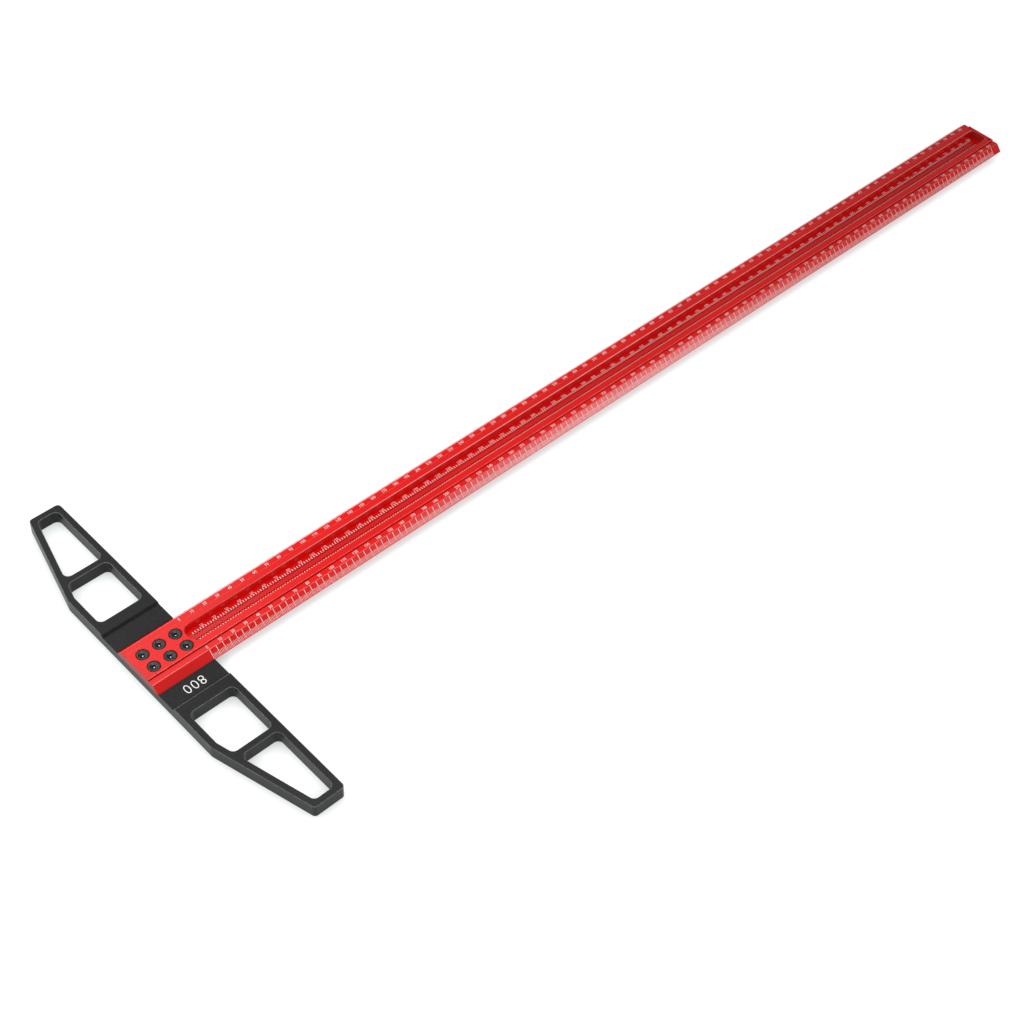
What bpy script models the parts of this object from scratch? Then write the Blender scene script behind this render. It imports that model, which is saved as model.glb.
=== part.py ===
"""A drafting T-square: a millimetre scale blade of red anodised aluminium, let into a black
anodised aluminium head and held there by six countersunk hex-socket screws.

All lengths are in metres. +X runs along the blade, away from the head, +Y runs along the head
and +Z is up. The head rests on Z = 0, and the origin is the middle of the bounding box's base.
"""

import math

import bmesh
import bpy
from mathutils import Vector

MM = 0.001

# Driving dimensions of the whole tool
SCALE_LENGTH = 800 * MM     # from the head's fence to the last graduation
SCALE_OVERRUN = 9 * MM      # plain blade beyond the last graduation
HEAD_WIDTH = 43 * MM        # along the blade
HEAD_LENGTH = 302 * MM      # across the blade
HEAD_HEIGHT = 10 * MM
CLEARANCE = 0.3 * MM        # kept between pieces that touch

# Head: a plate with two wings, each with two windows, and a recess for the blade
TIP_WIDTH = 23.4 * MM       # the head's width at the ends of its wings
BEND_Y = 76 * MM            # where the wings start to taper
RIM = 4.75 * MM             # bars left around the windows
CROSSBAR_Y = 90.2 * MM      # middle of the bar between a wing's two windows
WINDOW_START_Y = 47.2 * MM
WINDOW_RADIUS = 4 * MM
HEAD_CHAMFER = 0.4 * MM
FENCE_END_RADIUS = 3 * MM
TIP_RADIUS = 3 * MM
BEND_RADIUS = 8 * MM
RECESS_DEPTH = 2 * MM
RECESS_HALF = 38.6 * MM     # half length of the recess along its top edge
RECESS_SLOPE = 1.4 * MM     # how far its ends lean outward
SEAT_DEPTH = 3 * MM         # from the head's top to the face that carries the blade

# Blade: bevelled scale edges, a raised middle and a milled channel along it
BLADE_HALF = 22 * MM
BLADE_THICKNESS = 7 * MM
EDGE_THICKNESS = 0.6 * MM
RAISED_HALF = 12.5 * MM     # half width of the raised middle
STRIP_DROP = 1.1 * MM       # from the raised middle down to the figure strips
STRIP_HALF = 17.2 * MM      # where the bevels start
CHANNEL_HALF = 7.5 * MM
CHANNEL_FLOOR = 1 * MM      # blade thickness left under the channel
CHANNEL_START = -4 * MM     # measured from the fence
CHANNEL_END_WALL = 3.5 * MM
CHANNEL_START_RADIUS = 6 * MM
CHANNEL_END_RADIUS = 3 * MM
END_HOLE_RADIUS = 1 * MM
END_HOLE_INSET = 2 * MM     # from the blade's free end
END_HOLE_Y = 10 * MM

# Screws: M4 x 12, countersunk, hex socket
SCREW_ROWS_Y = (-6 * MM, 6 * MM)
SCREW_PITCH = 12.5 * MM
SCREWS_IN_ROW = 3
SCREW_HEAD_RADIUS = 4.2 * MM
SCREW_SHANK_RADIUS = 2 * MM
SCREW_LENGTH = 12 * MM
SCREW_TIP_CHAMFER = 0.4 * MM
SOCKET_ACROSS_FLATS = 2.5 * MM
SOCKET_DEPTH = 1.5 * MM
SOCKET_CONE = 0.5 * MM      # drill point below the socket's flats

# Where the main faces lie
BLADE_LENGTH = HEAD_WIDTH + SCALE_LENGTH + SCALE_OVERRUN
FENCE_X = HEAD_WIDTH - BLADE_LENGTH / 2
BLADE_END_X = BLADE_LENGTH / 2
SEAT_Z = HEAD_HEIGHT - SEAT_DEPTH
BLADE_TOP_Z = SEAT_Z + BLADE_THICKNESS
TAPER = math.atan2(HEAD_WIDTH - TIP_WIDTH, HEAD_LENGTH / 2 - BEND_Y)

# How finely round shapes are drawn
CORNER_STEP = math.radians(9)
SCREW_SIDES = 36
HOLE_SIDES = 24
MARGIN = 1 * MM             # how far a cutter runs past the faces it cuts

COLOURS = {                 # linear colour, roughness, metallic
    "black_anodised": ((0.035, 0.035, 0.037), 0.42, 0.6),
    "red_anodised": ((0.80, 0.022, 0.022), 0.35, 0.6),
    "black_steel": ((0.055, 0.060, 0.060), 0.38, 0.8),
}


def clear_scene():
    for item in list(bpy.data.objects):
        bpy.data.objects.remove(item)


def make_material(name):
    """A Principled material with the colour, roughness and metallic value listed for it."""
    colour, roughness, metallic = COLOURS[name]
    material = bpy.data.materials.new(name)
    material.use_nodes = True
    shader = material.node_tree.nodes["Principled BSDF"]
    shader.inputs["Base Color"].default_value = (*colour, 1)
    shader.inputs["Roughness"].default_value = roughness
    shader.inputs["Metallic"].default_value = metallic
    return material


def rounded_outline(corners, grow=0.0):
    """A convex counter-clockwise outline from (x, y, radius) corners, grown outward evenly."""
    outline = []
    for index, (x, y, radius) in enumerate(corners):
        corner = Vector((x, y))
        before = Vector(corners[index - 1][:2])
        after = Vector(corners[(index + 1) % len(corners)][:2])
        edge_in = (corner - before).normalized()
        edge_out = (after - corner).normalized()
        normal_in = Vector((edge_in.y, -edge_in.x))
        normal_out = Vector((edge_out.y, -edge_out.x))
        centre = corner - (normal_in + normal_out) * radius / (1 + normal_in.dot(normal_out))
        start = math.atan2(normal_in.y, normal_in.x)
        turn = normal_in.angle(normal_out)
        steps = math.ceil(turn / CORNER_STEP)
        for step in range(steps + 1):
            angle = start + turn * step / steps
            outward = Vector((math.cos(angle), math.sin(angle)))
            outline.append(centre + outward * (radius + grow))
    return outline


def flat_ring(outline, z):
    """An XY outline at one height."""
    return [Vector((point.x, point.y, z)) for point in outline]


def circle_ring(radius, z, sides, x=0.0, y=0.0):
    """A regular polygon about a vertical axis."""
    ring = []
    for side in range(sides):
        angle = 2 * math.pi * side / sides
        ring.append(Vector((x + radius * math.cos(angle), y + radius * math.sin(angle), z)))
    return ring


def cross_section_ring(section, x):
    """A (y, z) section at one place along the blade."""
    return [Vector((x, y, z)) for y, z in section]


def loft(name, rings):
    """A closed solid through rings of equal point count, with its two ends capped."""
    solid = bmesh.new()
    loops = [[solid.verts.new(point) for point in ring] for ring in rings]
    for lower, upper in zip(loops, loops[1:]):
        for index in range(len(lower)):
            following = (index + 1) % len(lower)
            solid.faces.new((lower[index], lower[following], upper[following], upper[index]))
    solid.faces.new(list(reversed(loops[0])))
    solid.faces.new(loops[-1])
    bmesh.ops.recalc_face_normals(solid, faces=solid.faces)
    mesh = bpy.data.meshes.new(name)
    solid.to_mesh(mesh)
    solid.free()
    piece = bpy.data.objects.new(name, mesh)
    bpy.context.scene.collection.objects.link(piece)
    return piece


def cut(target, cutter):
    """Takes the cutter's shape out of the target, and keeps the cutter as a hidden guide."""
    cutter.hide_render = True
    cutter.display_type = "WIRE"
    modifier = target.modifiers.new("cut_" + cutter.name, "BOOLEAN")
    modifier.operation = "DIFFERENCE"
    modifier.solver = "EXACT"
    modifier.object = cutter


def finish_piece(piece, material):
    piece.data.materials.append(material)
    piece.data.shade_smooth()
    piece.data.set_sharp_from_angle(angle=math.radians(30))


def screw_positions():
    """Screw axes, row by row, evenly spaced about the middle of the head's width."""
    middle_x = FENCE_X - HEAD_WIDTH / 2
    places = []
    for y in SCREW_ROWS_Y:
        for index in range(SCREWS_IN_ROW):
            offset = index - (SCREWS_IN_ROW - 1) / 2
            places.append((middle_x + offset * SCREW_PITCH, y))
    return places


def head_outline_corners():
    """The head in plan: a straight fence, and an outer edge that tapers along both wings."""
    half = HEAD_LENGTH / 2
    outer_x = FENCE_X - HEAD_WIDTH
    tip_x = FENCE_X - TIP_WIDTH
    return [
        (FENCE_X, -half, FENCE_END_RADIUS),
        (FENCE_X, half, FENCE_END_RADIUS),
        (tip_x, half, TIP_RADIUS),
        (outer_x, BEND_Y, BEND_RADIUS),
        (outer_x, -BEND_Y, BEND_RADIUS),
        (tip_x, -half, TIP_RADIUS),
    ]


def window_side_x(y):
    """X of a window's outer side, one rim in from the head's outer edge."""
    straight = RIM
    tapered = (RIM + (y - BEND_Y) * math.sin(TAPER)) / math.cos(TAPER)
    return FENCE_X - HEAD_WIDTH + max(straight, tapered)


def window_corners(start_y, end_y):
    """One window of the +Y wing, with an extra corner where its outer side bends."""
    bend_y = BEND_Y - RIM * math.tan(TAPER / 2)
    fence_side_x = FENCE_X - RIM
    corners = [
        (fence_side_x, start_y, WINDOW_RADIUS),
        (fence_side_x, end_y, WINDOW_RADIUS),
        (window_side_x(end_y), end_y, WINDOW_RADIUS),
    ]
    if start_y < bend_y:
        corners.append((window_side_x(bend_y), bend_y, BEND_RADIUS - RIM))
    corners.append((window_side_x(start_y), start_y, WINDOW_RADIUS))
    return corners


def mirrored(corners):
    """The same corners on the -Y wing, still counter-clockwise."""
    return [(x, -y, radius) for x, y, radius in reversed(corners)]


def make_head_plate():
    corners = head_outline_corners()
    body = rounded_outline(corners)
    face = rounded_outline(corners, -HEAD_CHAMFER)
    return loft("head", [
        flat_ring(face, 0),
        flat_ring(body, HEAD_CHAMFER),
        flat_ring(body, HEAD_HEIGHT - HEAD_CHAMFER),
        flat_ring(face, HEAD_HEIGHT),
    ])


def make_window_cutter(name, corners):
    """A window's hollow, flared at both faces so that its edges come out chamfered."""
    hollow = rounded_outline(corners)
    mouth = rounded_outline(corners, HEAD_CHAMFER + MARGIN)
    return loft(name, [
        flat_ring(mouth, -MARGIN),
        flat_ring(hollow, HEAD_CHAMFER),
        flat_ring(hollow, HEAD_HEIGHT - HEAD_CHAMFER),
        flat_ring(mouth, HEAD_HEIGHT + MARGIN),
    ])


def make_recess_cutter():
    """The shallow recess across the head, whose ends slope up to the wings."""
    floor_z = HEAD_HEIGHT - RECESS_DEPTH
    floor_half = RECESS_HALF - RECESS_SLOPE
    mouth_half = RECESS_HALF + RECESS_SLOPE * MARGIN / RECESS_DEPTH
    section = [
        (-floor_half, floor_z),
        (floor_half, floor_z),
        (mouth_half, HEAD_HEIGHT + MARGIN),
        (-mouth_half, HEAD_HEIGHT + MARGIN),
    ]
    return loft("recess_cutter", [
        cross_section_ring(section, FENCE_X - HEAD_WIDTH - MARGIN),
        cross_section_ring(section, FENCE_X + MARGIN),
    ])


def make_seat_cutter():
    """The square-sided bed in the recess that the blade is let into."""
    half = BLADE_HALF + CLEARANCE
    section = [
        (-half, SEAT_Z - CLEARANCE),
        (half, SEAT_Z - CLEARANCE),
        (half, HEAD_HEIGHT + MARGIN),
        (-half, HEAD_HEIGHT + MARGIN),
    ]
    return loft("seat_cutter", [
        cross_section_ring(section, FENCE_X - HEAD_WIDTH - MARGIN),
        cross_section_ring(section, FENCE_X + MARGIN),
    ])


def make_head(material):
    head = make_head_plate()
    cut(head, make_recess_cutter())
    cut(head, make_seat_cutter())
    windows = {
        "inner": window_corners(WINDOW_START_Y, CROSSBAR_Y - RIM / 2),
        "outer": window_corners(CROSSBAR_Y + RIM / 2, HEAD_LENGTH / 2 - RIM),
    }
    for name, corners in windows.items():
        cut(head, make_window_cutter(name + "_window_cutter_far", corners))
        cut(head, make_window_cutter(name + "_window_cutter_near", mirrored(corners)))
    for number, (x, y) in enumerate(screw_positions(), start=1):
        radius = SCREW_SHANK_RADIUS + CLEARANCE
        rings = [circle_ring(radius, z, HOLE_SIDES, x, y) for z in (-MARGIN, HEAD_HEIGHT)]
        cut(head, loft(f"head_hole_cutter_{number}", rings))
    finish_piece(head, material)
    return head


def blade_section():
    """The blade's section without its channel, counter-clockwise when seen along -X."""
    strip_z = BLADE_TOP_Z - STRIP_DROP
    right_side = [
        (BLADE_HALF, SEAT_Z),
        (BLADE_HALF, SEAT_Z + EDGE_THICKNESS),
        (STRIP_HALF, strip_z),
        (RAISED_HALF, strip_z),
        (RAISED_HALF, BLADE_TOP_Z),
    ]
    left_side = [(-y, z) for y, z in reversed(right_side)]
    return right_side + left_side


def make_channel_cutter():
    start_x = FENCE_X + CHANNEL_START
    end_x = BLADE_END_X - CHANNEL_END_WALL
    outline = rounded_outline([
        (start_x, -CHANNEL_HALF, CHANNEL_START_RADIUS),
        (end_x, -CHANNEL_HALF, CHANNEL_END_RADIUS),
        (end_x, CHANNEL_HALF, CHANNEL_END_RADIUS),
        (start_x, CHANNEL_HALF, CHANNEL_START_RADIUS),
    ])
    return loft("channel_cutter", [
        flat_ring(outline, SEAT_Z + CHANNEL_FLOOR),
        flat_ring(outline, BLADE_TOP_Z + MARGIN),
    ])


def make_countersink_cutter(number, x, y):
    """A clearance hole that opens into a right-angled countersink."""
    radius = SCREW_SHANK_RADIUS + CLEARANCE
    mouth = SCREW_HEAD_RADIUS + CLEARANCE
    cone_start_z = BLADE_TOP_Z - (mouth - radius)
    return loft(f"countersink_cutter_{number}", [
        circle_ring(radius, SEAT_Z - MARGIN, SCREW_SIDES, x, y),
        circle_ring(radius, cone_start_z, SCREW_SIDES, x, y),
        circle_ring(mouth + MARGIN, BLADE_TOP_Z + MARGIN, SCREW_SIDES, x, y),
    ])


def make_end_hole_cutter(name, y):
    x = BLADE_END_X - END_HOLE_INSET
    heights = (SEAT_Z - MARGIN, BLADE_TOP_Z + MARGIN)
    return loft(name, [circle_ring(END_HOLE_RADIUS, z, HOLE_SIDES, x, y) for z in heights])


def make_blade(material):
    """The milled bar; its faces are divided at the fence, where the free part of it begins."""
    section = blade_section()
    blade = loft("blade", [
        cross_section_ring(section, FENCE_X - HEAD_WIDTH),
        cross_section_ring(section, FENCE_X + CLEARANCE),
        cross_section_ring(section, BLADE_END_X),
    ])
    cut(blade, make_channel_cutter())
    for number, (x, y) in enumerate(screw_positions(), start=1):
        cut(blade, make_countersink_cutter(number, x, y))
    cut(blade, make_end_hole_cutter("end_hole_cutter_far", END_HOLE_Y))
    cut(blade, make_end_hole_cutter("end_hole_cutter_near", -END_HOLE_Y))
    finish_piece(blade, material)
    return blade


def make_socket_cutter(number, x, y):
    """The hexagonal key socket, with a shallow drill point at its bottom."""
    radius = SOCKET_ACROSS_FLATS / 2 / math.cos(math.pi / 6)
    flats_z = BLADE_TOP_Z - SOCKET_DEPTH
    point_radius = radius / 10
    return loft(f"socket_cutter_{number}", [
        circle_ring(point_radius, flats_z - SOCKET_CONE, 6, x, y),
        circle_ring(radius, flats_z, 6, x, y),
        circle_ring(radius, BLADE_TOP_Z + MARGIN, 6, x, y),
    ])


def make_screw(number, x, y, material):
    """A countersunk screw, its head flush with the blade's raised middle."""
    cone_height = SCREW_HEAD_RADIUS - SCREW_SHANK_RADIUS
    tip_z = BLADE_TOP_Z - SCREW_LENGTH
    profile = [
        (SCREW_SHANK_RADIUS - SCREW_TIP_CHAMFER, tip_z),
        (SCREW_SHANK_RADIUS, tip_z + SCREW_TIP_CHAMFER),
        (SCREW_SHANK_RADIUS, BLADE_TOP_Z - cone_height),
        (SCREW_HEAD_RADIUS, BLADE_TOP_Z),
    ]
    rings = [circle_ring(radius, z, SCREW_SIDES, x, y) for radius, z in profile]
    screw = loft(f"screw_{number}", rings)
    cut(screw, make_socket_cutter(number, x, y))
    finish_piece(screw, material)
    return screw


def main():
    clear_scene()
    black_anodised = make_material("black_anodised")
    red_anodised = make_material("red_anodised")
    black_steel = make_material("black_steel")
    make_head(black_anodised)
    make_blade(red_anodised)
    for number, (x, y) in enumerate(screw_positions(), start=1):
        make_screw(number, x, y, black_steel)


main()
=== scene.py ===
"""The looks of a drafting T-square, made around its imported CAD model.

A red anodised blade with an engraved millimetre scale is let into a black anodised head and held
by six countersunk screws. Lengths are in metres, +X runs along the blade and +Z is up.
"""

import math

import bmesh
import bpy
from mathutils import Matrix, Vector


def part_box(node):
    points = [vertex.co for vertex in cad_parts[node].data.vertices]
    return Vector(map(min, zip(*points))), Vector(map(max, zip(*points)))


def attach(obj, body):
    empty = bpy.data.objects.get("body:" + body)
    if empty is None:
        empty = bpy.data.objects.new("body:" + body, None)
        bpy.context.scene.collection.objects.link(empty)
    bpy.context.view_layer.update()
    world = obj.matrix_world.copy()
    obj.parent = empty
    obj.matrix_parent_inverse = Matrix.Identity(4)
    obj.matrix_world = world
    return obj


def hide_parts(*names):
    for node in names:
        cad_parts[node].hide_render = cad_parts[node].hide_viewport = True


MM = 0.001

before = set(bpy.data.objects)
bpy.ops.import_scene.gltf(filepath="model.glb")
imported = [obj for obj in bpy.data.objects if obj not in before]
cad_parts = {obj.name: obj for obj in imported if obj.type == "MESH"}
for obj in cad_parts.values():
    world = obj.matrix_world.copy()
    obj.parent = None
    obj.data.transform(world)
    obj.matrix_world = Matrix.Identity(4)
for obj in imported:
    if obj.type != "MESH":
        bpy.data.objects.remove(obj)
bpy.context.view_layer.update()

# Places read from the CAD model
head_low, head_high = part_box("head")
blade_low, blade_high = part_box("blade")
FENCE_X = head_high.x
HEAD_BACK_X = head_low.x
HEAD_HALF = head_high.y
HEAD_HEIGHT = head_high.z
BLADE_END_X = blade_high.x
BLADE_HALF = blade_high.y
SEAT_Z = blade_low.z
BLADE_TOP_Z = blade_high.z
SCREW_NODES = sorted(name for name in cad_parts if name.startswith("screw_"))

# Head
TIP_WIDTH = 23.4 * MM
BEND_Y = 76 * MM            # where the wings start to taper
RIM = 4.75 * MM             # bars left around the windows
CROSSBAR_Y = 90.2 * MM      # middle of the bar between a wing's two windows
WINDOW_START_Y = 47.2 * MM
WINDOW_RADIUS = 4 * MM
HEAD_CHAMFER = 0.4 * MM
FENCE_END_RADIUS = 3 * MM
TIP_RADIUS = 3 * MM
BEND_RADIUS = 8 * MM
RECESS_Z = HEAD_HEIGHT - 2 * MM
RECESS_HALF = 38.6 * MM     # half length of the recess along its top edge
RECESS_SLOPE = 1.4 * MM     # how far its ends lean outward
RECESS_LIP = 0.5 * MM       # width of the chamfer along its top edges
SEAT_CLEARANCE = 0.1 * MM
TAPPED_HOLE_RADIUS = 2.15 * MM
TAPER = math.atan2(FENCE_X - HEAD_BACK_X - TIP_WIDTH, HEAD_HALF - BEND_Y)

# Blade
EDGE_THICKNESS = 0.6 * MM
EDGE_ROUNDING = 0.1 * MM
RAISED_HALF = 12.5 * MM     # half width of the raised middle
STRIP_HALF = 17.2 * MM      # where the bevels start
STRIP_Z = BLADE_TOP_Z - 1.1 * MM
CREST_RADIUS = 0.8 * MM     # between the figure strips and the bevels
RAISED_EDGE_RADIUS = 0.6 * MM
GROOVE_WIDTH = 0.4 * MM     # clearance groove along the foot of the raised middle
GROOVE_DEPTH = 0.5 * MM
GROOVE_LIT_X = FENCE_X + 330 * MM  # the painted shade in the groove thins out around here, where it is lit brightest
CHANNEL_HALF = 7.5 * MM
CHANNEL_Z = SEAT_Z + 1.0 * MM
CHANNEL_START_X = FENCE_X - 4 * MM
CHANNEL_END_X = BLADE_END_X - 3.5 * MM
CHANNEL_START_RADIUS = 6 * MM
CHANNEL_END_RADIUS = 3 * MM
RIM_CHAMFER = 0.32 * MM
END_CHAMFER = 0.15 * MM
END_HOLE_RADIUS = 1 * MM
END_HOLE_X = BLADE_END_X - 2 * MM
END_HOLE_Y = 10 * MM

# Scale
SCALE_END = 800             # millimetres from the fence to the last line
LINE_WIDTH = 0.21 * MM
LONG_LINE_WIDTH = 0.32 * MM
LONG_LINE_START = 0.03      # where lines start and end, as shares of the bevel from its crest
FINE_LINE_START = 0.5
EDGE_LINE_END = 0.97
PAINT_PROUD = 0.015 * MM    # how far the white filling stands out of the metal
PAINT_DEEP = 0.1 * MM
EDGE_FIGURE_HEIGHT = 2.2 * MM
EDGE_FIGURE_Y = 14.9 * MM
EDGE_FIGURE_PITCH = 1.4 * MM
ROW_FIGURE_HEIGHT = 2.0 * MM
ROW_FIGURE_PITCH = 1.4 * MM
ROW_FIGURE_Y = 5.5 * MM
FIGURE_THINNING = 0.006     # taken off the strokes, as a share of the font's size
FIGURE_NARROWING = 0.78     # width against the font's own

# Pricking holes in the channel
HOLE_ROW_Y = 2 * MM
HOLE_RADIUS = 0.62 * MM
HOLE_FOOT_RADIUS = 0.3 * MM  # the holes narrow downward, to guide a pencil's lead
HOLE_SIDES = 12
HOLE_LINE_WIDTH = 0.5 * MM
HOLE_LINE_START = 0.6 * MM  # from the row's middle line
FAR_LINE_END = 2.4 * MM
NEAR_LINE_END = 1.3 * MM

# Screws
SCREW_HEAD_RADIUS = 4.2 * MM
SCREW_SHANK_RADIUS = 2 * MM
SCREW_CLEARANCE = 0.3 * MM
SCREW_LENGTH = 12 * MM
THREAD_PITCH = 0.7 * MM
THREAD_DEPTH = 0.35 * MM
SOCKET_ACROSS_FLATS = 2.5 * MM
SOCKET_RADIUS = SOCKET_ACROSS_FLATS / 2 / math.cos(math.pi / 6)
SOCKET_DEPTH = 1.5 * MM
SOCKET_CONE = 0.5 * MM      # drill point below the socket's flats
SOCKET_MOUTH_RADIUS = 1.85 * MM
SOCKET_MOUTH_FOOT = 1.35 * MM
SOCKET_MOUTH_DEPTH = 0.32 * MM
RING_GROOVE_RADII = (2.40 * MM, 2.55 * MM)  # foot and top of the groove's outer side
RING_GROOVE_DEPTH = 0.07 * MM
SCREW_EDGE = 0.12 * MM
SCREW_TURN = math.radians(37)   # each socket is turned this much more than the last
DARK_RING_RADIUS = 2.15 * MM
DARK_RING_HALF = 0.25 * MM
# Width of the painted shade along each screw head's outer edge
GAP_SHADE_WIDTH = 0.5 * MM
# Radius of the painted highlight deep in each socket
SOCKET_HIGHLIGHT_RADIUS = 0.55 * MM
SCREW_SIDES = 64

# Head numeral
SIZE_NUMERAL = "800"
NUMERAL_HEIGHT = 7.0 * MM
NUMERAL_PITCH = 5.6 * MM
NUMERAL_THINNING = 0.016
NUMERAL_NARROWING = 0.95
NUMERAL_PLACE = (FENCE_X - 21.2 * MM, -30.1 * MM)

# Colours, as linear red, green and blue
# Painted highlights on the red: along the raised edges and crests, and along the channel's rim
RAISED_EDGE_HIGHLIGHT = (0.90, 0.24, 0.22)
CREST_HIGHLIGHT = (0.90, 0.30, 0.28)
RIM_HIGHLIGHT_BY_HEAD = (0.78, 0.05, 0.045)
RIM_HIGHLIGHT_FARTHER = (0.92, 0.40, 0.38)
RIM_CHANGE = 0.15           # metres over which the painted highlight on the channel's rim turns paler
# Painted shade: in the countersinks, the grooves, the pricking holes and on the faces turned
# towards -X
SINK_SHADE_RED = (0.05, 0.001, 0.001)
GROOVE_SHADE_RED = (0.10, 0.001, 0.001)
HOLE_SHADE_RED = (0.010, 0.002, 0.002)
END_FACE_SHADE_RED = (0.36, 0.012, 0.011)
# A painted highlight on the head's chamfered edges
EDGE_HIGHLIGHT_BLACK = (0.17, 0.17, 0.175)
# Painted shade along the screw heads' outer edges, also used for the dark ring round each socket
DEEP_BLACK = (0.006, 0.006, 0.006)
# Painted shade in the screws' sockets
SOCKET_SHADE_BLACK = (0.004, 0.004, 0.004)
# A painted highlight deep in each socket
SOCKET_HIGHLIGHT = (0.80, 0.80, 0.80)

# Masks in the materials
CHAMFER_LEAN = 0.8          # upward part of a leaning face's normal
CHAMFER_SPREAD = 0.15
SKIN = 0.03 * MM            # how far a mask's limits stay off the surfaces beside them

ARC_STEP = math.radians(5)
MARGIN = 1 * MM             # how far a cutter runs past the faces it cuts

# Studio
WORLD_STRENGTH = 0.29
FLOOR_HALF = 12.0
FLOOR_Z = -0.05 * MM
FLOOR_GLOW = 0.95           # emission that keeps the floor white
# The floor's glow right beside the tool, painting a shadow there
SHADOW_GLOW = FLOOR_GLOW / 3
SHADOW_REACH = 14 * MM     # how far around the tool the floor's glow fades, painting a shadow

# Camera: its aim on the floor, and where it stands from there
CAMERA_AIM = Vector((-0.1524, -0.0480, 0))
CAMERA_DISTANCE = 1.2809
CAMERA_AZIMUTH = math.radians(-134.97)
CAMERA_ELEVATION = math.radians(47.59)
CAMERA_ROLL = math.radians(2.91)
CAMERA_LENS = 66.03         # millimetres, on a 36 mm sensor


# ---------------------------------------------------------------- outlines and solids

def fillet_outline(corners, grow=0.0):
    """A counter-clockwise outline from (u, v, radius) corners, rounded and grown evenly."""
    outline = []
    for index, (u, v, radius) in enumerate(corners):
        corner = Vector((u, v))
        before = Vector(corners[index - 1][:2])
        after = Vector(corners[(index + 1) % len(corners)][:2])
        edge_in = (corner - before).normalized()
        edge_out = (after - corner).normalized()
        normal_in = Vector((edge_in.y, -edge_in.x))
        normal_out = Vector((edge_out.y, -edge_out.x))
        mitre = (normal_in + normal_out) / (1 + normal_in.dot(normal_out))
        if radius == 0:
            outline.append(corner + mitre * grow)
            continue
        turn = math.atan2(edge_in.cross(edge_out), edge_in.dot(edge_out))
        side = math.copysign(1, turn)
        centre = corner - mitre * radius * side
        start = math.atan2(normal_in.y, normal_in.x)
        steps = max(2, math.ceil(abs(turn) / ARC_STEP))
        for step in range(steps + 1):
            angle = start + turn * step / steps
            outward = Vector((math.cos(angle), math.sin(angle)))
            outline.append(centre + outward * (radius * side + grow))
    return outline


def flat_ring(outline, z):
    return [Vector((point.x, point.y, z)) for point in outline]


def section_ring(outline, x):
    return [Vector((x, point.x, point.y)) for point in outline]


def circle_ring(radius, z, sides, x=0.0, y=0.0):
    ring = []
    for side in range(sides):
        angle = 2 * math.pi * side / sides
        ring.append(Vector((x + radius * math.cos(angle), y + radius * math.sin(angle), z)))
    return ring


def add_loft(solid, rings):
    """Adds a closed body through rings of equal point count, with its two ends capped."""
    loops = [[solid.verts.new(point) for point in ring] for ring in rings]
    for lower, upper in zip(loops, loops[1:]):
        for index in range(len(lower)):
            following = (index + 1) % len(lower)
            solid.faces.new((lower[index], lower[following], upper[following], upper[index]))
    solid.faces.new(list(reversed(loops[0])))
    solid.faces.new(loops[-1])


def make_piece(name, solid):
    bmesh.ops.recalc_face_normals(solid, faces=solid.faces)
    mesh = bpy.data.meshes.new(name)
    solid.to_mesh(mesh)
    solid.free()
    piece = bpy.data.objects.new(name, mesh)
    bpy.context.scene.collection.objects.link(piece)
    return piece


def loft(name, rings):
    solid = bmesh.new()
    add_loft(solid, rings)
    return make_piece(name, solid)


def applied_mesh(piece):
    """The piece's mesh with its modifiers applied."""
    bpy.context.view_layer.update()
    graph = bpy.context.evaluated_depsgraph_get()
    return bpy.data.meshes.new_from_object(piece.evaluated_get(graph))


def cut(piece, cutters):
    """Takes the cutters' shapes out of the piece, and removes the cutters."""
    for cutter in cutters:
        modifier = piece.modifiers.new("cut", "BOOLEAN")
        modifier.operation = "DIFFERENCE"
        modifier.solver = "EXACT"
        modifier.object = cutter
    piece.data = applied_mesh(piece)
    piece.modifiers.clear()
    for cutter in cutters:
        bpy.data.objects.remove(cutter)


def smooth(piece, sharp_angle=math.radians(24)):
    """Shades round stretches smooth and keeps flat faces flat."""
    piece.data.shade_smooth()
    piece.data.set_sharp_from_angle(angle=sharp_angle)
    weighting = piece.modifiers.new("weighted_normals", "WEIGHTED_NORMAL")
    weighting.keep_sharp = True
    weighting.weight = 100


def dress(piece, material, slot, *nodes):
    """Gives a finished piece its material and its body, and hides the CAD nodes that it stands
    for.
    """
    piece.data.materials.clear()
    piece.data.materials.append(material)
    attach(piece, "root")
    if nodes:
        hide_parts(*nodes)


# ---------------------------------------------------------------- materials

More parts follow.
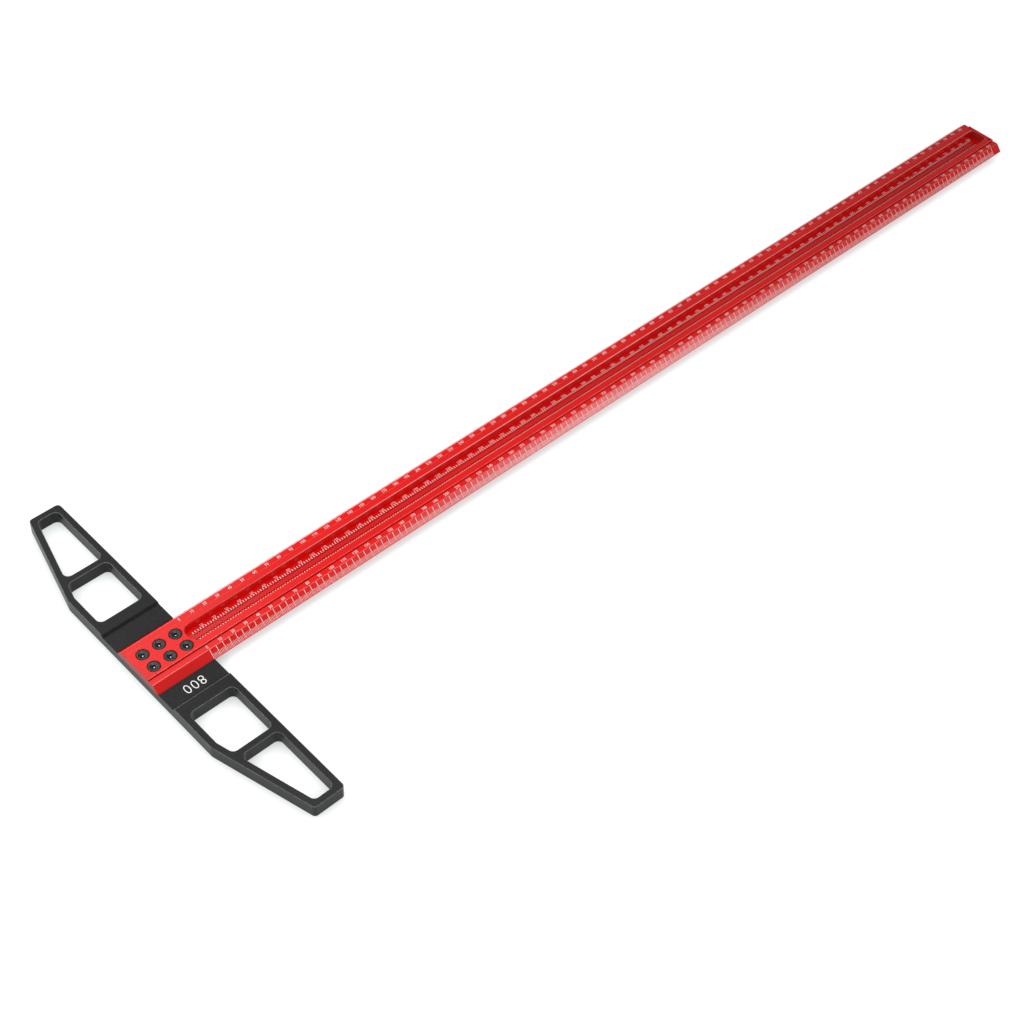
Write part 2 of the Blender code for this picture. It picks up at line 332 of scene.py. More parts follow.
class NodeTree:
    """Short calls for a material's nodes."""

    def __init__(self, name, roughness, metallic):
        self.material = bpy.data.materials.new(name)
        self.material.use_nodes = True
        self.tree = self.material.node_tree
        self.shader = self.tree.nodes["Principled BSDF"]
        self.shader.inputs["Metallic"].default_value = metallic
        self.shader.inputs["Roughness"].default_value = roughness
        coordinates = self.tree.nodes.new("ShaderNodeTexCoord")
        self.place = coordinates.outputs["Object"]
        self.facing = coordinates.outputs["Normal"]

    def link(self, output, node, socket):
        self.tree.links.new(output, node.inputs[socket])

    def scaled_place(self, scale):
        mapping = self.tree.nodes.new("ShaderNodeMapping")
        mapping.inputs["Scale"].default_value = scale
        self.link(self.place, mapping, "Vector")
        return mapping.outputs["Vector"]

    def noise(self, scale, detail=3.0, stretch=(1, 1, 1)):
        """A noise pattern of about 1 / scale metres, drawn out along the axes in stretch."""
        texture = self.tree.nodes.new("ShaderNodeTexNoise")
        texture.inputs["Scale"].default_value = scale
        texture.inputs["Detail"].default_value = detail
        self.link(self.scaled_place(stretch), texture, "Vector")
        return texture.outputs["Fac"]

    def ramp(self, factor, low, high, start=0.3, end=0.7):
        """Turns a pattern into colours, or into grey levels given as numbers."""
        node = self.tree.nodes.new("ShaderNodeValToRGB")
        node.color_ramp.elements[0].position = start
        node.color_ramp.elements[1].position = end
        for element, value in zip(node.color_ramp.elements, (low, high)):
            colour = (value, value, value) if isinstance(value, float) else value
            element.color = (*colour, 1)
        self.link(factor, node, "Fac")
        return node.outputs["Color"]

    def math(self, operation, first, second, third=0.0):
        """A Math node; each value is a number or another node's output."""
        node = self.tree.nodes.new("ShaderNodeMath")
        node.operation = operation
        for index, value in enumerate((first, second, third)):
            if isinstance(value, (int, float)):
                node.inputs[index].default_value = value
            else:
                self.link(value, node, index)
        return node.outputs["Value"]

    def part_of(self, vector, axis):
        """One of a vector's three parts."""
        node = self.tree.nodes.new("ShaderNodeSeparateXYZ")
        self.link(vector, node, "Vector")
        return node.outputs[axis]

    def radius(self):
        """Distance from the piece's own Z axis."""
        flat = self.tree.nodes.new("ShaderNodeVectorMath")
        flat.operation = "MULTIPLY"
        flat.inputs[1].default_value = (1, 1, 0)
        self.link(self.place, flat, 0)
        length = self.tree.nodes.new("ShaderNodeVectorMath")
        length.operation = "LENGTH"
        self.link(flat.outputs["Vector"], length, 0)
        return length.outputs["Value"]

    def chamfers(self):
        """1 on faces that lean less than the walls and more than the tops, and 0 elsewhere."""
        upward = self.part_of(self.facing, "Z")
        return self.math("COMPARE", upward, CHAMFER_LEAN, CHAMFER_SPREAD)

    def mix(self, factor, first, second):
        """A blend of two colours, each given as numbers or as another node's output."""
        node = self.tree.nodes.new("ShaderNodeMix")
        node.data_type = "RGBA"
        self.link(factor, node, 0)
        for index, value in ((6, first), (7, second)):
            if isinstance(value, tuple):
                node.inputs[index].default_value = (*value, 1)
            else:
                self.link(value, node, index)
        return node.outputs[2]

    def bump(self, height, distance, strength=1.0, before=None):
        node = self.tree.nodes.new("ShaderNodeBump")
        node.inputs["Distance"].default_value = distance
        node.inputs["Strength"].default_value = strength
        self.link(height, node, "Height")
        if before is not None:
            self.link(before, node, "Normal")
        return node.outputs["Normal"]


def rub_edges(nodes, plain, from_middle):
    """The red with painted highlights on its raised edges, channel rim and crests, and painted
    shade in the countersinks.
    """
    # Painted highlight on the raised edges
    leaning = nodes.chamfers()
    at_step = nodes.math("COMPARE", from_middle, RAISED_HALF, MARGIN)
    edge_highlight = nodes.math("MULTIPLY", nodes.math("MULTIPLY", leaning, at_step),
                      nodes.ramp(nodes.noise(700), 0.1, 0.7))
    edged = nodes.mix(edge_highlight, plain, RAISED_EDGE_HIGHLIGHT)

    # Painted shade on the leaning faces inside the raised middle, in the countersinks
    inside_step = nodes.math("LESS_THAN", from_middle, RAISED_HALF - MARGIN)
    inner_edges = nodes.math("MULTIPLY", leaning, inside_step)
    edged = nodes.mix(inner_edges, edged, SINK_SHADE_RED)
    # Painted highlight along the channel's rim, turning paler away from the head
    along = nodes.part_of(nodes.place, "X")
    past_screws = nodes.math("GREATER_THAN", along, CHANNEL_START_X - MARGIN)
    from_start = nodes.math("SUBTRACT", along, CHANNEL_START_X)
    rim_highlight_colour = nodes.ramp(from_start, RIM_HIGHLIGHT_BY_HEAD, RIM_HIGHLIGHT_FARTHER, 0.0, RIM_CHANGE)
    rim = nodes.math("MULTIPLY", nodes.math("MULTIPLY", inner_edges, past_screws),
                     nodes.ramp(nodes.noise(500), 0.6, 1.0))
    edged = nodes.mix(rim, edged, rim_highlight_colour)

    # Painted highlight along the crests
    on_crest = nodes.math("COMPARE", from_middle, STRIP_HALF - 0.1 * MM, 0.2 * MM)
    crest_highlight = nodes.math("MULTIPLY", on_crest, nodes.ramp(nodes.noise(400), 0.25, 0.6))
    return nodes.mix(crest_highlight, edged, CREST_HIGHLIGHT)


def fill_groove(nodes, unshaded, from_middle):
    """The given colour with painted shade in the grooves, thinning out where the light along
    them is brightest.
    """
    groove_middle = RAISED_HALF + GROOVE_WIDTH / 2
    in_groove = nodes.math("COMPARE", from_middle, groove_middle, GROOVE_WIDTH / 2)
    height = nodes.part_of(nodes.place, "Z")
    below_strip = nodes.math("LESS_THAN", height, STRIP_Z - 0.1 * MM)
    from_cleanest = nodes.math("SUBTRACT", nodes.part_of(nodes.place, "X"), GROOVE_LIT_X)
    # Less painted shade where the light along the groove is brightest
    shade_amount = nodes.ramp(nodes.math("ABSOLUTE", from_cleanest, 0), 0.0, 1.0, 0.12, 0.36)
    groove_shade = nodes.math("MULTIPLY", nodes.math("MULTIPLY", in_groove, shade_amount), below_strip)
    return nodes.mix(groove_shade, unshaded, GROOVE_SHADE_RED)


def darken_holes(nodes, colour, from_middle):
    """The given colour, with painted shade making the walls of the pricking holes nearly black.
    """
    in_rows = nodes.math("LESS_THAN", from_middle, HOLE_ROW_Y + HOLE_RADIUS + 0.1 * MM)
    half_scale = SCALE_END / 2 * MM
    in_scale = nodes.math("COMPARE", nodes.part_of(nodes.place, "X"), FENCE_X + half_scale,
                          half_scale + MARGIN)
    floor_middle = (SEAT_Z + CHANNEL_Z) / 2
    in_floor = nodes.math("COMPARE", nodes.part_of(nodes.place, "Z"), floor_middle,
                          (CHANNEL_Z - SEAT_Z) / 2 - SKIN)
    in_holes = nodes.math("MULTIPLY", in_floor, nodes.math("MULTIPLY", in_rows, in_scale))
    return nodes.mix(in_holes, colour, HOLE_SHADE_RED)


def red_anodised():
    """Satin red anodising over a bar with faint lengthwise milling lines, painted highlights
    along its edges and crests, and painted shade in its hollows and on faces turned towards -X.
    """
    nodes = NodeTree("red_anodised", roughness=0.26, metallic=0.0)
    clouds = nodes.noise(60, stretch=(0.3, 1, 1))
    plain = nodes.ramp(clouds, (0.67, 0.0030, 0.0026), (0.75, 0.0045, 0.0036))
    from_middle = nodes.math("ABSOLUTE", nodes.part_of(nodes.place, "Y"), 0)
    colour = rub_edges(nodes, plain, from_middle)
    colour = fill_groove(nodes, colour, from_middle)
    colour = darken_holes(nodes, colour, from_middle)
    # Painted shade on the faces turned towards -X, which also reflect less
    end_face = nodes.math("LESS_THAN", nodes.part_of(nodes.facing, "X"), -0.5)
    nodes.link(nodes.mix(end_face, colour, END_FACE_SHADE_RED), nodes.shader, "Base Color")
    sheen = nodes.math("MULTIPLY_ADD", end_face, -0.4, 0.5)
    nodes.link(sheen, nodes.shader, "Specular IOR Level")

    lines = nodes.noise(900, stretch=(0.02, 1, 1))
    grain = nodes.noise(2500)
    nodes.link(nodes.ramp(lines, 0.20, 0.27), nodes.shader, "Roughness")
    milled = nodes.bump(lines, 0.004 * MM)
    nodes.link(nodes.bump(grain, 0.004 * MM, before=milled), nodes.shader, "Normal")
    return nodes.material


def black_anodised():
    """Satin black anodising with a fine blasted grain, and painted highlights on its chamfered
    edges but for the far lip.
    """
    nodes = NodeTree("black_anodised", roughness=0.40, metallic=0.0)
    grain = nodes.noise(3000)
    speckle = nodes.noise(1300)
    plain = nodes.ramp(speckle, (0.002, 0.002, 0.003), (0.020, 0.020, 0.021))
    clouds = nodes.ramp(nodes.noise(45), 0.0, 0.5)
    plain = nodes.mix(clouds, plain, (0.009, 0.009, 0.010))
    # Painted highlight on the chamfered edges
    edge_highlight = nodes.math("MULTIPLY", nodes.chamfers(), nodes.ramp(nodes.noise(500), 0.4, 1.0))
    far_lip = nodes.math("COMPARE", nodes.part_of(nodes.place, "Y"), RECESS_HALF, MARGIN)
    edge_highlight = nodes.math("MULTIPLY", edge_highlight, nodes.math("SUBTRACT", 1.0, far_lip))
    nodes.link(nodes.mix(edge_highlight, plain, EDGE_HIGHLIGHT_BLACK), nodes.shader, "Base Color")
    nodes.link(nodes.ramp(grain, 0.30, 0.42), nodes.shader, "Roughness")
    nodes.shader.inputs["Specular IOR Level"].default_value = 0.2
    nodes.link(nodes.bump(grain, 0.008 * MM), nodes.shader, "Normal")
    return nodes.material


def black_steel():
    """Black oxide on turned steel, with fine rings, painted shade along the head's outer edge
    and in the socket, and a painted highlight deep in the socket.
    """
    nodes = NodeTree("black_steel", roughness=0.34, metallic=0.6)
    rings = nodes.tree.nodes.new("ShaderNodeTexWave")
    rings.wave_type = "RINGS"
    rings.rings_direction = "Z"
    rings.inputs["Scale"].default_value = 900
    rings.inputs["Distortion"].default_value = 0.4
    nodes.link(nodes.place, rings, "Vector")
    patches = nodes.noise(900)
    oxide = nodes.ramp(patches, (0.018, 0.021, 0.020), (0.030, 0.035, 0.033))
    turned = nodes.mix(nodes.ramp(rings.outputs["Fac"], 0.0, 0.35), oxide, (0.075, 0.085, 0.082))
    # Painted shade along the head's outer edge, where it meets the countersink
    edge_start = SCREW_HEAD_RADIUS - GAP_SHADE_WIDTH
    gap_shade = nodes.math("GREATER_THAN", nodes.radius(), edge_start)
    turned = nodes.mix(gap_shade, turned, DEEP_BLACK)
    ring = nodes.math("COMPARE", nodes.radius(), DARK_RING_RADIUS, DARK_RING_HALF)
    turned = nodes.mix(ring, turned, DEEP_BLACK)

    # Painted shade in the socket
    height = nodes.part_of(nodes.place, "Z")
    in_head = nodes.math("GREATER_THAN", height, -2 * SOCKET_DEPTH)
    below_mouth = nodes.math("LESS_THAN", height, -SOCKET_MOUTH_DEPTH - SKIN)
    sunk = nodes.math("MULTIPLY", in_head, below_mouth)
    in_socket = nodes.math("LESS_THAN", nodes.radius(), SOCKET_RADIUS + SKIN)
    shaded = nodes.mix(nodes.math("MULTIPLY", sunk, in_socket), turned, SOCKET_SHADE_BLACK)
    # A painted highlight deep in the socket
    deep = nodes.math("LESS_THAN", height, -0.8 * SOCKET_DEPTH)
    across = nodes.math("LESS_THAN", nodes.radius(), SOCKET_HIGHLIGHT_RADIUS)
    socket_highlight = nodes.math("MULTIPLY", across, nodes.math("MULTIPLY", deep, in_head))
    nodes.link(nodes.mix(socket_highlight, shaded, SOCKET_HIGHLIGHT), nodes.shader, "Base Color")
    nodes.link(nodes.ramp(patches, 0.28, 0.42), nodes.shader, "Roughness")
    nodes.link(nodes.bump(rings.outputs["Fac"], 0.006 * MM), nodes.shader, "Normal")
    return nodes.material


def white_infill():
    """Matt white paint in the engraving, a little uneven."""
    nodes = NodeTree("white_infill", roughness=0.6, metallic=0.0)
    patches = nodes.noise(1200)
    colour = nodes.ramp(patches, (0.82, 0.82, 0.80), (0.95, 0.95, 0.93))
    nodes.link(colour, nodes.shader, "Base Color")
    nodes.link(nodes.bump(patches, 0.01 * MM), nodes.shader, "Normal")
    return nodes.material


def floor_paper():
    """A plain white studio floor that glows a little, less so close to the tool, which paints a
    shadow around it.
    """
    nodes = NodeTree("floor_paper", roughness=0.9, metallic=0.0)
    colour = nodes.ramp(nodes.noise(8), (0.145, 0.17, 0.172), (0.155, 0.18, 0.182))
    nodes.link(colour, nodes.shader, "Base Color")
    nodes.shader.inputs["Specular IOR Level"].default_value = 0.1
    nodes.shader.inputs["Emission Color"].default_value = (1, 1, 1, 1)
    # Painted shadow: the glow fades where the tool hides the floor
    occlusion = nodes.tree.nodes.new("ShaderNodeAmbientOcclusion")
    occlusion.inputs["Distance"].default_value = SHADOW_REACH
    glow = nodes.ramp(occlusion.outputs["AO"], SHADOW_GLOW, FLOOR_GLOW, 0.0, 0.8)
    nodes.link(glow, nodes.shader, "Emission Strength")
    return nodes.material


# ---------------------------------------------------------------- head

def head_corners():
    tip_x = FENCE_X - TIP_WIDTH
    return [
        (FENCE_X, -HEAD_HALF, FENCE_END_RADIUS),
        (FENCE_X, HEAD_HALF, FENCE_END_RADIUS),
        (tip_x, HEAD_HALF, TIP_RADIUS),
        (HEAD_BACK_X, BEND_Y, BEND_RADIUS),
        (HEAD_BACK_X, -BEND_Y, BEND_RADIUS),
        (tip_x, -HEAD_HALF, TIP_RADIUS),
    ]


def window_side_x(y):
    """X of a window's outer side, one rim in from the head's outer edge."""
    tapered = (RIM + (y - BEND_Y) * math.sin(TAPER)) / math.cos(TAPER)
    return HEAD_BACK_X + max(RIM, tapered)


def window_corners(start_y, end_y):
    """One window of the +Y wing, with an extra corner where its outer side bends."""
    bend_y = BEND_Y - RIM * math.tan(TAPER / 2)
    corners = [
        (FENCE_X - RIM, start_y, WINDOW_RADIUS),
        (FENCE_X - RIM, end_y, WINDOW_RADIUS),
        (window_side_x(end_y), end_y, WINDOW_RADIUS),
    ]
    if start_y < bend_y:
        corners.append((window_side_x(bend_y), bend_y, BEND_RADIUS - RIM))
    corners.append((window_side_x(start_y), start_y, WINDOW_RADIUS))
    return corners


def mirrored(corners):
    return [(x, -y, radius) for x, y, radius in reversed(corners)]


def window_cutter(corners):
    """A window's hollow, flared at both faces so that its edges come out chamfered."""
    hollow = fillet_outline(corners)
    mouth = fillet_outline(corners, HEAD_CHAMFER + MARGIN)
    return loft("window_cutter", [
        flat_ring(mouth, -MARGIN),
        flat_ring(hollow, HEAD_CHAMFER),
        flat_ring(hollow, HEAD_HEIGHT - HEAD_CHAMFER),
        flat_ring(mouth, HEAD_HEIGHT + MARGIN),
    ])


def recess_cutter():
    """The recess across the head: sloped ends, with a flatter chamfer along their top edges."""
    lip_z = HEAD_HEIGHT - RECESS_LIP / 2
    slope_top = RECESS_HALF - RECESS_SLOPE * (HEAD_HEIGHT - lip_z) / (HEAD_HEIGHT - RECESS_Z)
    right_side = [
        Vector((RECESS_HALF - RECESS_SLOPE, RECESS_Z)),
        Vector((slope_top, lip_z)),
        Vector((slope_top + RECESS_LIP + 2 * MARGIN, HEAD_HEIGHT + MARGIN)),
    ]
    left_side = [Vector((-corner.x, corner.y)) for corner in reversed(right_side)]
    return across_head("recess_cutter", right_side + left_side)


def seat_cutter():
    """The square-sided bed that the blade is let into."""
    half = BLADE_HALF + SEAT_CLEARANCE
    floor_z = SEAT_Z - SEAT_CLEARANCE
    section = [
        Vector((half, floor_z)),
        Vector((half, HEAD_HEIGHT + MARGIN)),
        Vector((-half, HEAD_HEIGHT + MARGIN)),
        Vector((-half, floor_z)),
    ]
    return across_head("seat_cutter", section)


def across_head(name, section):
    """A cutter of one section that runs across the head, along X."""
    ends = (HEAD_BACK_X - MARGIN, FENCE_X + MARGIN)
    return loft(name, [section_ring(section, x) for x in ends])


def tapped_hole_cutter(x, y):
    """A screw hole through the head, with a countersunk mouth underneath."""
    radius = TAPPED_HOLE_RADIUS
    chamfer = HEAD_CHAMFER
    return loft("tapped_hole_cutter", [
        circle_ring(radius + chamfer + MARGIN, -MARGIN, SCREW_SIDES, x, y),
        circle_ring(radius, chamfer, SCREW_SIDES, x, y),
        circle_ring(radius, HEAD_HEIGHT, SCREW_SIDES, x, y),
    ])


def screw_places():
    """Each screw's axis, from its CAD node."""
    places = []
    for name in SCREW_NODES:
        low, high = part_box(name)
        places.append(((low.x + high.x) / 2, (low.y + high.y) / 2))
    return places


def make_head(material):
    corners = head_corners()
    body = fillet_outline(corners)
    face = fillet_outline(corners, -HEAD_CHAMFER)
    head = loft("head_plate", [
        flat_ring(face, 0),
        flat_ring(body, HEAD_CHAMFER),
        flat_ring(body, HEAD_HEIGHT - HEAD_CHAMFER),
        flat_ring(face, HEAD_HEIGHT),
    ])
    inner = window_corners(WINDOW_START_Y, CROSSBAR_Y - RIM / 2)
    outer = window_corners(CROSSBAR_Y + RIM / 2, HEAD_HALF - RIM)
    windows = [inner, outer, mirrored(inner), mirrored(outer)]
    cut(head, [
        recess_cutter(),
        seat_cutter(),
        *[window_cutter(window) for window in windows],
        *[tapped_hole_cutter(x, y) for x, y in screw_places()],
    ])
    smooth(head)
    dress(head, material, "black_anodised", "head")


# ---------------------------------------------------------------- blade

def blade_corners():
    """The blade's section as (y, z, radius) corners, without its channel."""
    right_side = [
        (BLADE_HALF, SEAT_Z, EDGE_ROUNDING),
        (BLADE_HALF, SEAT_Z + EDGE_THICKNESS, EDGE_ROUNDING),
        (STRIP_HALF, STRIP_Z, CREST_RADIUS),
        (RAISED_HALF + GROOVE_WIDTH, STRIP_Z, 0),
        (RAISED_HALF + GROOVE_WIDTH, STRIP_Z - GROOVE_DEPTH, 0),
        (RAISED_HALF, STRIP_Z - GROOVE_DEPTH, 0),
        (RAISED_HALF, BLADE_TOP_Z, RAISED_EDGE_RADIUS),
    ]
    left_side = [(-y, z, radius) for y, z, radius in reversed(right_side)]
    return right_side + left_side


def channel_cutter():
    """The channel, with a chamfered rim."""
    corners = [
        (CHANNEL_START_X, -CHANNEL_HALF, CHANNEL_START_RADIUS),
        (CHANNEL_END_X, -CHANNEL_HALF, CHANNEL_END_RADIUS),
        (CHANNEL_END_X, CHANNEL_HALF, CHANNEL_END_RADIUS),
        (CHANNEL_START_X, CHANNEL_HALF, CHANNEL_START_RADIUS),
    ]
    levels = [
        (0, CHANNEL_Z),
        (0, BLADE_TOP_Z - RIM_CHAMFER),
        (RIM_CHAMFER + MARGIN, BLADE_TOP_Z + MARGIN),
    ]
    rings = [flat_ring(fillet_outline(corners, grow), z) for grow, z in levels]
    return loft("channel_cutter", rings)


def countersink_cutter(x, y):
    radius = SCREW_SHANK_RADIUS + SCREW_CLEARANCE
    mouth = SCREW_HEAD_RADIUS + SCREW_CLEARANCE
    return loft("countersink_cutter", [
        circle_ring(radius, SEAT_Z - MARGIN, SCREW_SIDES, x, y),
        circle_ring(radius, BLADE_TOP_Z - (mouth - radius), SCREW_SIDES, x, y),
        circle_ring(mouth + MARGIN, BLADE_TOP_Z + MARGIN, SCREW_SIDES, x, y),
    ])


def end_hole_cutter(y):
    heights = (SEAT_Z - MARGIN, BLADE_TOP_Z + MARGIN)
    rings = [circle_ring(END_HOLE_RADIUS, z, 2 * HOLE_SIDES, END_HOLE_X, y) for z in heights]
    return loft("end_hole_cutter", rings)


def row_y(millimetre):
    """Even millimetres lie in the far row of pricking holes and odd ones in the near row."""
    return HOLE_ROW_Y if millimetre % 2 == 0 else -HOLE_ROW_Y


def pricking_holes_cutter():
    solid = bmesh.new()
    levels = [
        (HOLE_FOOT_RADIUS, SEAT_Z - MARGIN),
        (HOLE_FOOT_RADIUS, SEAT_Z + 0.2 * MM),
        (HOLE_RADIUS, CHANNEL_Z - 0.2 * MM),
        (HOLE_RADIUS, CHANNEL_Z + MARGIN),
    ]
    for millimetre in range(1, SCALE_END + 1):
        x = FENCE_X + millimetre * MM
        y = row_y(millimetre)
        add_loft(solid, [circle_ring(radius, z, HOLE_SIDES, x, y) for radius, z in levels])
    return make_piece("pricking_holes_cutter", solid)


def make_blade(material):
    corners = blade_corners()
    section = fillet_outline(corners)
    end_section = fillet_outline(corners, -END_CHAMFER / 2)
    blade = loft("blade_bar", [
        section_ring(end_section, HEAD_BACK_X),
        section_ring(section, HEAD_BACK_X + END_CHAMFER / 2),
        section_ring(section, BLADE_END_X - END_CHAMFER / 2),
        section_ring(end_section, BLADE_END_X),
    ])
    cutters = [countersink_cutter(x, y) for x, y in screw_places()]
    cutters += [end_hole_cutter(y) for y in (-END_HOLE_Y, END_HOLE_Y)]
    cutters.append(channel_cutter())
    cutters.append(pricking_holes_cutter())
    cut(blade, cutters)
    smooth(blade)
    dress(blade, material, "red_anodised", "blade")


# ---------------------------------------------------------------- scale

def add_bar(solid, start, end, width, normal):
    """A thin bar of paint from start to end, let into the face that normal stands on."""
    along = (end - start).normalized()
    across = along.cross(normal) * width / 2
    rings = []
    for point in (start, end):
        low = point - normal * PAINT_DEEP
        high = point + normal * PAINT_PROUD
        rings.append([low - across, low + across, high + across, high - across])
    add_loft(solid, rings)


def edge_lines(solid, side):
    """The lines of one edge scale: fine ones to half the bevel, every fifth over all of it."""
    crest = Vector((0, side * STRIP_HALF, STRIP_Z))
    edge = Vector((0, side * BLADE_HALF, SEAT_Z + EDGE_THICKNESS))
    down = edge - crest
    normal = Vector((0, -down.z * side, down.y * side)).normalized()
    for millimetre in range(SCALE_END + 1):
        place = Vector((FENCE_X + millimetre * MM, 0, 0))
        is_long = millimetre % 5 == 0
        start_share = LONG_LINE_START if is_long else FINE_LINE_START
        width = LONG_LINE_WIDTH if is_long else LINE_WIDTH
        start = place + crest + down * start_share
        add_bar(solid, start, place + crest + down * EDGE_LINE_END, width, normal)


def row_lines(solid):
    """A short line beside each pricking hole, on the side away from the other row."""
    for millimetre in range(1, SCALE_END + 1):
        y = row_y(millimetre)
        place = Vector((FENCE_X + millimetre * MM, y, CHANNEL_Z))
        reach = (HOLE_LINE_START, FAR_LINE_END) if y > 0 else (-HOLE_LINE_START, -NEAR_LINE_END)
        start, end = (place + Vector((0, distance, 0)) for distance in reach)
        add_bar(solid, start, end, HOLE_LINE_WIDTH, Vector((0, 0, 1)))


def figure_shape(figure, thinning):
    """One figure of height 1 as (vertices, faces), standing on 0 and centred from side to side.

    Its strokes are thinned by the given share of the font's size.
    """
    curve = bpy.data.curves.new("figure", "FONT")
    curve.body = figure
    curve.resolution_u = 3
    curve.offset = -thinning
    curve.extrude = 0.5
    curve.fill_mode = "BOTH"
    text = bpy.data.objects.new("figure", curve)
    bpy.context.scene.collection.objects.link(text)
    mesh = applied_mesh(text)
    bpy.data.objects.remove(text)
    xs = [vertex.co.x for vertex in mesh.vertices]
    ys = [vertex.co.y for vertex in mesh.vertices]
    middle = (min(xs) + max(xs)) / 2
    height = max(ys) - min(ys)
    vertices = []
    for vertex in mesh.vertices:
        x = (vertex.co.x - middle) / height
        y = (vertex.co.y - min(ys)) / height
        vertices.append(Vector((x, y, math.copysign(1, vertex.co.z))))
    faces = [tuple(polygon.vertices) for polygon in mesh.polygons]
    bpy.data.meshes.remove(mesh)
    return vertices, faces


def add_number(solid, shapes, text, place, height, pitch, narrow=FIGURE_NARROWING,
               turned=False):
    """Lays a number on a level face with its middle at place; turned, it reads from +Y."""
    facing = -1 if turned else 1
    for index, figure in enumerate(text):
        offset = (index - (len(text) - 1) / 2) * pitch
        vertices, faces = shapes[figure]
        made = []
        for vertex in vertices:
            x = offset + vertex.x * height * narrow
            y = (vertex.y - 0.5) * height
            z = PAINT_PROUD if vertex.z > 0 else -PAINT_DEEP
            made.append(solid.verts.new(place + Vector((x * facing, y * facing, z))))
        for face in faces:
            solid.faces.new([made[corner] for corner in face])


def make_scale(material):
    shapes = {figure: figure_shape(figure, FIGURE_THINNING) for figure in "0123456789"}
    lines = bmesh.new()
    edge_lines(lines, 1)
    edge_lines(lines, -1)
    row_lines(lines)
    dress(make_piece("scale_lines", lines), material, "white_infill")

    figures = bmesh.new()
    for millimetre in range(0, SCALE_END + 1, 10):
        x = FENCE_X + millimetre * MM
        for y in (-EDGE_FIGURE_Y, EDGE_FIGURE_Y):
            add_number(figures, shapes, str(millimetre), Vector((x, y, STRIP_Z)),
                       EDGE_FIGURE_HEIGHT, EDGE_FIGURE_PITCH)
        if millimetre > 0:
            add_number(figures, shapes, str(millimetre), Vector((x, ROW_FIGURE_Y, CHANNEL_Z)),
                       ROW_FIGURE_HEIGHT, ROW_FIGURE_PITCH)
    dress(make_piece("scale_figures", figures), material, "white_infill")

    numeral = bmesh.new()
    figures_used = sorted(set(SIZE_NUMERAL))
    shapes = {figure: figure_shape(figure, NUMERAL_THINNING) for figure in figures_used}
    add_number(numeral, shapes, SIZE_NUMERAL, Vector((*NUMERAL_PLACE, RECESS_Z)),
               NUMERAL_HEIGHT, NUMERAL_PITCH, NUMERAL_NARROWING, turned=True)
    dress(make_piece("head_numeral", numeral), material, "white_infill")


# ---------------------------------------------------------------- screws

def socket_cutter():
    """The hexagonal socket about the origin, with a drill point below it."""
    return loft("socket_cutter", [
        circle_ring(SOCKET_RADIUS / 10, -SOCKET_DEPTH - SOCKET_CONE, 6),
        circle_ring(SOCKET_RADIUS, -SOCKET_DEPTH, 6),
        circle_ring(SOCKET_RADIUS, MARGIN, 6),
    ])


def screw_profile():
    """(radius, z) of the screw from its tip to the mouth of its socket, with its top at 0."""
    profile = [(SCREW_SHANK_RADIUS - THREAD_DEPTH, -SCREW_LENGTH)]
    z = -SCREW_LENGTH + THREAD_PITCH / 2
    neck_z = SCREW_SHANK_RADIUS - SCREW_HEAD_RADIUS
    while z < neck_z - THREAD_PITCH:
        profile.append((SCREW_SHANK_RADIUS, z))
        profile.append((SCREW_SHANK_RADIUS - THREAD_DEPTH, z + THREAD_PITCH / 2))
        z += THREAD_PITCH
    groove_foot, groove_top = RING_GROOVE_RADII
    profile += [
        (SCREW_SHANK_RADIUS, neck_z),
        (SCREW_HEAD_RADIUS - SCREW_EDGE, -SCREW_EDGE),
        (SCREW_HEAD_RADIUS - SCREW_EDGE, -SCREW_EDGE / 2),
        (SCREW_HEAD_RADIUS - 2 * SCREW_EDGE, 0),
        (groove_top, 0),
        (groove_foot, -RING_GROOVE_DEPTH),
        (SOCKET_MOUTH_RADIUS, -RING_GROOVE_DEPTH),
        (SOCKET_MOUTH_FOOT, -SOCKET_MOUTH_DEPTH),
    ]
    return profile


def make_screws(material):
    pattern = loft("screw_pattern", [circle_ring(r, z, SCREW_SIDES) for r, z in screw_profile()])
    cut(pattern, [socket_cutter()])
    for node, (x, y) in zip(SCREW_NODES, screw_places()):
        screw = bpy.data.objects.new("socket_" + node, pattern.data)
        bpy.context.scene.collection.objects.link(screw)
        screw.location = (x, y, BLADE_TOP_Z)
        screw.rotation_euler.z = SCREW_TURN * int(node.split("_")[1])
        smooth(screw, math.radians(30))
        dress(screw, material, "black_steel", node)
    bpy.data.objects.remove(pattern)


# ---------------------------------------------------------------- studio

def make_floor(material):
    solid = bmesh.new()
    half = FLOOR_HALF
    corners = [(-half, -half), (half, -half), (half, half), (-half, half)]
    solid.faces.new([solid.verts.new((x, y, FLOOR_Z)) for x, y in corners])
    floor = make_piece("studio_floor", solid)
    floor.data.materials.append(material)


def aim(thing, target):
    """Turns a camera or light at its place so that it looks at the target."""
    toward = Vector(target) - thing.location
    thing.rotation_euler = toward.to_track_quat("-Z", "Y").to_euler()


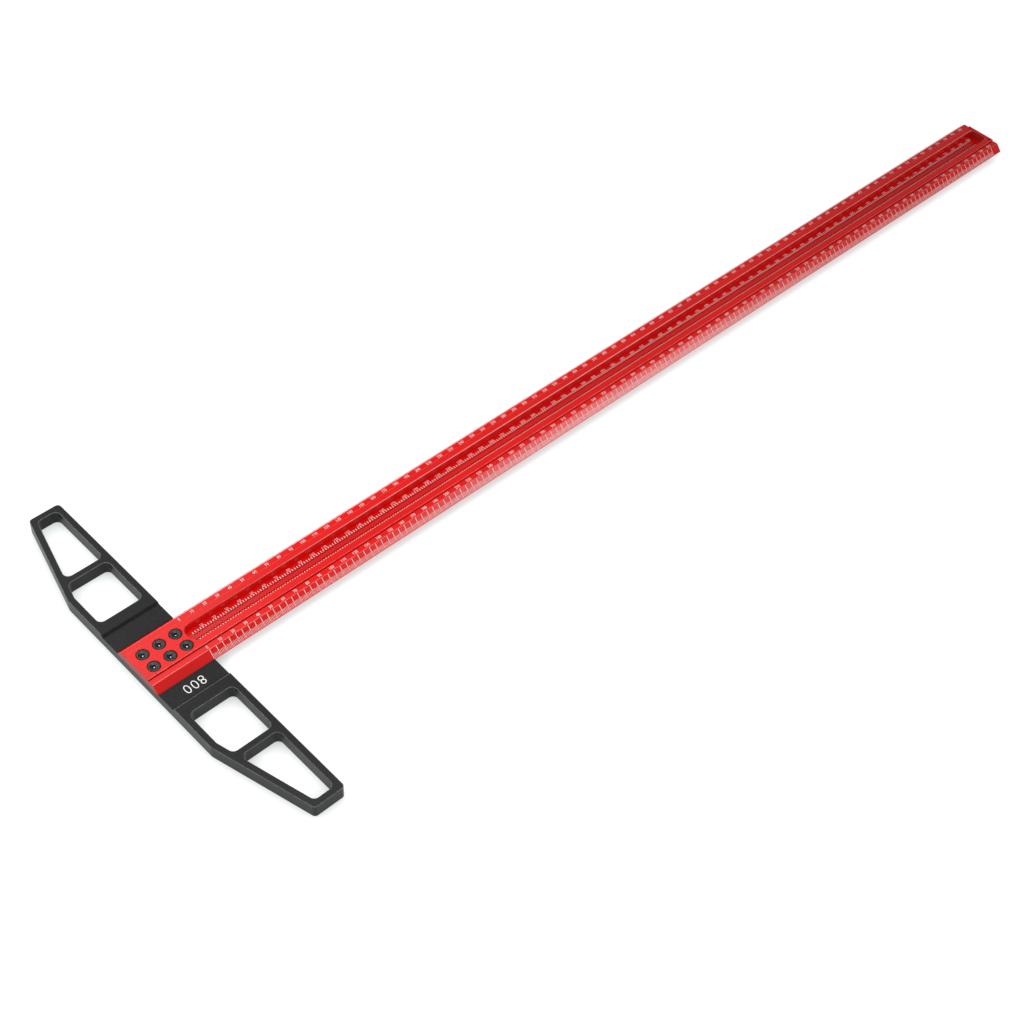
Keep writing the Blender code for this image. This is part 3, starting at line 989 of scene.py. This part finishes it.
def make_softbox(name, target, azimuth, elevation, distance, size, watts):
    """An area light that looks at a target on the floor from the given direction, in degrees."""
    light = bpy.data.lights.new(name, "AREA")
    light.shape = "RECTANGLE"
    light.size, light.size_y = size
    light.energy = watts
    lamp = bpy.data.objects.new(name, light)
    bpy.context.scene.collection.objects.link(lamp)
    turn, lift = math.radians(azimuth), math.radians(elevation)
    direction = Vector((math.cos(turn) * math.cos(lift), math.sin(turn) * math.cos(lift),
                        math.sin(lift)))
    lamp.location = Vector(target) + direction * distance
    aim(lamp, target)


def make_studio():
    make_floor(floor_paper())
    head_place = (HEAD_BACK_X, 0, 0)
    middle = (0, 0, 0)
    make_softbox("key", head_place, azimuth=105, elevation=37, distance=0.75,
                 size=(0.55, 0.55), watts=3.3)
    make_softbox("overhead", (-0.36, 0.07, 0), azimuth=0, elevation=89, distance=0.75,
                 size=(0.4, 0.5), watts=3.2)
    make_softbox("far_fill", (HEAD_BACK_X, 0.1, 0), azimuth=62, elevation=50, distance=0.6,
                 size=(0.3, 0.3), watts=0.2)
    make_softbox("side", middle, azimuth=-55, elevation=25, distance=2.0, size=(0.6, 0.5),
                 watts=4.8)
    make_softbox("near_fill", middle, azimuth=-125, elevation=25, distance=1.2,
                 size=(0.4, 0.4), watts=2.2)
    world = bpy.data.worlds.new("studio")
    world.use_nodes = True
    background = world.node_tree.nodes["Background"]
    background.inputs["Color"].default_value = (1, 1, 1, 1)
    background.inputs["Strength"].default_value = WORLD_STRENGTH
    bpy.context.scene.world = world
    bpy.context.scene.view_settings.view_transform = "Standard"


def make_camera():
    data = bpy.data.cameras.new("camera")
    data.sensor_width = 36
    data.lens = CAMERA_LENS
    data.clip_end = 50
    camera = bpy.data.objects.new("camera", data)
    bpy.context.scene.collection.objects.link(camera)
    direction = Vector((math.cos(CAMERA_AZIMUTH) * math.cos(CAMERA_ELEVATION),
                        math.sin(CAMERA_AZIMUTH) * math.cos(CAMERA_ELEVATION),
                        math.sin(CAMERA_ELEVATION)))
    camera.location = CAMERA_AIM + direction * CAMERA_DISTANCE
    upright = (-direction).to_track_quat("-Z", "Y").to_matrix()
    camera.rotation_euler = (upright @ Matrix.Rotation(CAMERA_ROLL, 3, "Z")).to_euler()
    bpy.context.scene.camera = camera


make_camera()
make_head(black_anodised())
make_blade(red_anodised())
make_scale(white_infill())
make_screws(black_steel())
make_studio()
